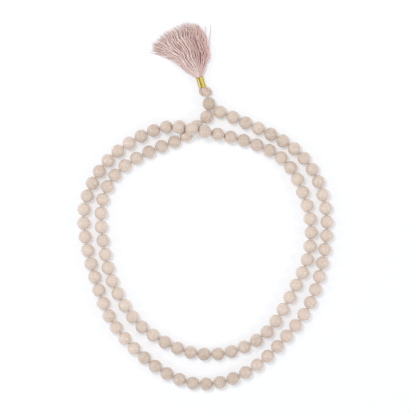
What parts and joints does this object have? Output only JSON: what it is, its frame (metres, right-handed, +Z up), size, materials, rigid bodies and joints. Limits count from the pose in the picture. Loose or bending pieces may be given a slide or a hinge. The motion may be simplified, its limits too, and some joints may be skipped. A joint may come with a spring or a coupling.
{
  "type": "mala prayer beads",
  "caption": "Strand of round pink stone beads on one string, wound twice round, with a guru bead and a pink thread tassel in a gold metal sleeve.",
  "frame": {"origin": "centre of the bounding box at its base, on the surface the beads lie on", "axes": "+X across the loop to the right as seen from above, +Y along the loop from its bottom to the tassel, +Z up off the surface"},
  "size_m": [0.1533, 0.2206, 0.0154],
  "materials": {
    "pink_stone": "polished, slightly cloudy",
    "guru_stone": "polished, slightly cloudy",
    "string": "twisted silk cord",
    "tassel_thread": "silky plied thread",
    "gold_metal": "polished"
  },
  "bodies": {
    "top": {"top_right_beads": "pink_stone", "top_right_string": "string", "top_left_beads": "pink_stone", "top_left_string": "string"},
    "outer_right_1": {"outer_right_1_beads": "pink_stone", "outer_right_1_string": "string"},
    "outer_right_2": {"outer_right_2_beads": "pink_stone", "outer_right_2_string": "string"},
    "outer_right_3": {"outer_right_3_beads": "pink_stone", "outer_right_3_string": "string"},
    "outer_right_4": {"outer_right_4_beads": "pink_stone", "outer_right_4_string": "string"},
    "outer_right_5": {"outer_right_5_beads": "pink_stone", "outer_right_5_string": "string"},
    "outer_bottom": {"outer_bottom_beads": "pink_stone", "outer_bottom_string": "string"},
    "outer_left_5": {"outer_left_5_beads": "pink_stone", "outer_left_5_string": "string"},
    "outer_left_4": {"outer_left_4_beads": "pink_stone", "outer_left_4_string": "string"},
    "outer_left_3": {"outer_left_3_beads": "pink_stone", "outer_left_3_string": "string"},
    "outer_left_2": {"outer_left_2_beads": "pink_stone", "outer_left_2_string": "string"},
    "outer_left_1": {"outer_left_1_beads": "pink_stone", "outer_left_1_string": "string"},
    "crossing": {"crossing_beads": "pink_stone", "crossing_string": "string"},
    "inner_right_1": {"inner_right_1_beads": "pink_stone", "inner_right_1_string": "string"},
    "inner_right_2": {"inner_right_2_beads": "pink_stone", "inner_right_2_string": "string"},
    "inner_right_3": {"inner_right_3_beads": "pink_stone", "inner_right_3_string": "string"},
    "inner_right_4": {"inner_right_4_beads": "pink_stone", "inner_right_4_string": "string"},
    "inner_bottom": {"inner_bottom_beads": "pink_stone", "inner_bottom_string": "string"},
    "inner_left_4": {"inner_left_4_beads": "pink_stone", "inner_left_4_string": "string"},
    "inner_left_3": {"inner_left_3_beads": "pink_stone", "inner_left_3_string": "string"},
    "inner_left_2": {"inner_left_2_beads": "pink_stone", "inner_left_2_string": "string"},
    "inner_left_1": {"inner_left_1_beads": "pink_stone", "inner_left_1_string": "string"},
    "first_bead": {"first_bead": "pink_stone"},
    "last_bead": {"last_bead": "pink_stone"},
    "guru_bead": {"guru_bead": "guru_stone"},
    "knot": {"string_knot": "string"},
    "tassel": {"tassel_head": "tassel_thread", "tassel_sleeve": "gold_metal", "skirt_lock_3": "tassel_thread"},
    "skirt_lock_1": {"skirt_lock_1": "tassel_thread"},
    "skirt_lock_2": {"skirt_lock_2": "tassel_thread"},
    "skirt_lock_4": {"skirt_lock_4": "tassel_thread"},
    "skirt_lock_5": {"skirt_lock_5": "tassel_thread"}
  },
  "joints": [
    {"name": "outer_fold_1", "type": "hinge", "parent": "top", "child": "outer_right_1", "pos_m": [0.06209, 0.02566, 0.004], "axis": [-0.9999, -0.0101, 0], "range_deg": [-25, 25]},
    {"name": "outer_fold_2", "type": "hinge", "parent": "outer_right_1", "child": "outer_right_2", "pos_m": [0.07182, 0.0031, 0.004], "axis": [-1, -0.0048, 0], "range_deg": [-25, 25]},
    {"name": "outer_fold_3", "type": "hinge", "parent": "outer_right_2", "child": "outer_right_3", "pos_m": [0.0726, -0.02152, 0.004], "axis": [-1, -0.0042, 0], "range_deg": [-25, 25]},
    {"name": "outer_fold_4", "type": "hinge", "parent": "outer_right_3", "child": "outer_right_4", "pos_m": [0.06764, -0.04576, 0.004], "axis": [-1, -0.0023, 0], "range_deg": [-25, 25]},
    {"name": "outer_fold_5", "type": "hinge", "parent": "outer_right_4", "child": "outer_right_5", "pos_m": [0.05709, -0.06801, 0.004], "axis": [-1, -0.0078, 0], "range_deg": [-25, 25]},
    {"name": "outer_fold_6", "type": "hinge", "parent": "outer_right_5", "child": "outer_bottom", "pos_m": [0.04083, -0.08666, 0.004], "axis": [-0.9999, -0.0125, 0], "range_deg": [-25, 25]},
    {"name": "outer_fold_6_left", "type": "hinge", "parent": "outer_bottom", "child": "outer_left_5", "pos_m": [-0.03907, -0.08766, 0.004], "axis": [-0.9999, -0.0125, 0], "range_deg": [-25, 25]},
    {"name": "outer_fold_5_left", "type": "hinge", "parent": "outer_left_5", "child": "outer_left_4", "pos_m": [-0.05508, -0.06888, 0.004], "axis": [-1, -0.0078, 0], "range_deg": [-25, 25]},
    {"name": "outer_fold_4_left", "type": "hinge", "parent": "outer_left_4", "child": "outer_left_3", "pos_m": [-0.06445, -0.04606, 0.004], "axis": [-1, -0.0023, 0], "range_deg": [-25, 25]},
    {"name": "outer_fold_3_left", "type": "hinge", "parent": "outer_left_3", "child": "outer_left_2", "pos_m": [-0.07072, -0.02213, 0.004], "axis": [-1, -0.0042, 0], "range_deg": [-25, 25]},
    {"name": "outer_fold_2_left", "type": "hinge", "parent": "outer_left_2", "child": "outer_left_1", "pos_m": [-0.07139, 0.00242, 0.004], "axis": [-1, -0.0048, 0], "range_deg": [-25, 25]},
    {"name": "outer_fold_1_left", "type": "hinge", "parent": "outer_left_1", "child": "crossing", "pos_m": [-0.06047, 0.02443, 0.004], "axis": [-0.9999, -0.0101, 0], "range_deg": [-25, 25]},
    {"name": "inner_fold_1", "type": "hinge", "parent": "top", "child": "inner_left_1", "pos_m": [-0.04408, 0.02665, 0.004], "axis": [-1, 0.0017, 0], "range_deg": [-25, 25]},
    {"name": "inner_fold_2", "type": "hinge", "parent": "inner_left_1", "child": "inner_left_2", "pos_m": [-0.06161, 0.00015, 0.004], "axis": [-0.9993, -0.0366, 0], "range_deg": [-25, 25]},
    {"name": "inner_fold_3", "type": "hinge", "parent": "inner_left_2", "child": "inner_left_3", "pos_m": [-0.05987, -0.02445, 0.004], "axis": [-0.9992, -0.0388, 0], "range_deg": [-25, 25]},
    {"name": "inner_fold_4", "type": "hinge", "parent": "inner_left_3", "child": "inner_left_4", "pos_m": [-0.05356, -0.04828, 0.004], "axis": [-0.9989, -0.0464, 0], "range_deg": [-25, 25]},
    {"name": "inner_fold_5", "type": "hinge", "parent": "inner_left_4", "child": "inner_bottom", "pos_m": [-0.04041, -0.06917, 0.004], "axis": [-0.9988, -0.0495, 0], "range_deg": [-25, 25]},
    {"name": "inner_fold_5_right", "type": "hinge", "parent": "inner_bottom", "child": "inner_right_4", "pos_m": [0.04477, -0.06495, 0.004], "axis": [-0.9988, -0.0495, 0], "range_deg": [-25, 25]},
    {"name": "inner_fold_4_right", "type": "hinge", "parent": "inner_right_4", "child": "inner_right_3", "pos_m": [0.05651, -0.04317, 0.004], "axis": [-0.9989, -0.0464, 0], "range_deg": [-25, 25]},
    {"name": "inner_fold_3_right", "type": "hinge", "parent": "inner_right_3", "child": "inner_right_2", "pos_m": [0.0635, -0.01966, 0.004], "axis": [-0.9992, -0.0388, 0], "range_deg": [-25, 25]},
    {"name": "inner_fold_2_right", "type": "hinge", "parent": "inner_right_2", "child": "inner_right_1", "pos_m": [0.05993, 0.0046, 0.004], "axis": [-0.9993, -0.0366, 0], "range_deg": [-25, 25]},
    {"name": "first_bead_spin", "type": "hinge", "parent": "top", "child": "first_bead", "pos_m": [0.00929, 0.05632, 0.004], "axis": [0.9365, -0.3506, 0], "continuous": true},
    {"name": "last_bead_spin", "type": "hinge", "parent": "top", "child": "last_bead", "pos_m": [0.00128, 0.05337, 0.004], "axis": [0.791, 0.6118, 0], "continuous": true},
    {"name": "guru_bead_spin", "type": "hinge", "parent": "top", "child": "guru_bead", "pos_m": [0.0027, 0.0614, 0.004], "axis": [-0.1908, 0.9816, 0], "continuous": true},
    {"name": "tassel_swing", "type": "hinge", "parent": "top", "child": "knot", "pos_m": [0.0017, 0.06655, 0.004], "axis": [0, 0, 1], "range_deg": [-35, 35]},
    {"name": "tassel_lift", "type": "hinge", "parent": "knot", "child": "tassel", "pos_m": [0.0017, 0.06655, 0.004], "axis": [0.9537, 0.3007, 0], "range_deg": [-40, 60]},
    {"name": "skirt_fan", "type": "hinge", "parent": "tassel", "child": "skirt_lock_1", "pos_m": [-0.00303, 0.07696, 0.003], "axis": [0, 0, 1], "range_deg": [-4, 12]},
    {"name": "skirt_fan_2", "type": "hinge", "parent": "tassel", "child": "skirt_lock_2", "pos_m": [-0.00303, 0.07696, 0.003], "axis": [0, 0, 1], "range_deg": [-2, 6]},
    {"name": "skirt_fan_4", "type": "hinge", "parent": "tassel", "child": "skirt_lock_4", "pos_m": [-0.00303, 0.07696, 0.003], "axis": [0, 0, 1], "range_deg": [-6, 2]},
    {"name": "skirt_fan_5", "type": "hinge", "parent": "tassel", "child": "skirt_lock_5", "pos_m": [-0.00303, 0.07696, 0.003], "axis": [0, 0, 1], "range_deg": [-12, 4]}
  ],
  "couplings": [
    {"joint": "outer_fold_6_left", "follows": "outer_fold_6", "ratio": -1},
    {"joint": "outer_fold_5_left", "follows": "outer_fold_5", "ratio": -1},
    {"joint": "outer_fold_4_left", "follows": "outer_fold_4", "ratio": -1},
    {"joint": "outer_fold_3_left", "follows": "outer_fold_3", "ratio": -1},
    {"joint": "outer_fold_2_left", "follows": "outer_fold_2", "ratio": -1},
    {"joint": "outer_fold_1_left", "follows": "outer_fold_1", "ratio": -1},
    {"joint": "inner_fold_5_right", "follows": "inner_fold_5", "ratio": -1},
    {"joint": "inner_fold_4_right", "follows": "inner_fold_4", "ratio": -1},
    {"joint": "inner_fold_3_right", "follows": "inner_fold_3", "ratio": -1},
    {"joint": "inner_fold_2_right", "follows": "inner_fold_2", "ratio": -1},
    {"joint": "skirt_fan_2", "follows": "skirt_fan", "ratio": 0.5},
    {"joint": "skirt_fan_4", "follows": "skirt_fan", "ratio": -0.5},
    {"joint": "skirt_fan_5", "follows": "skirt_fan", "ratio": -1}
  ]
}
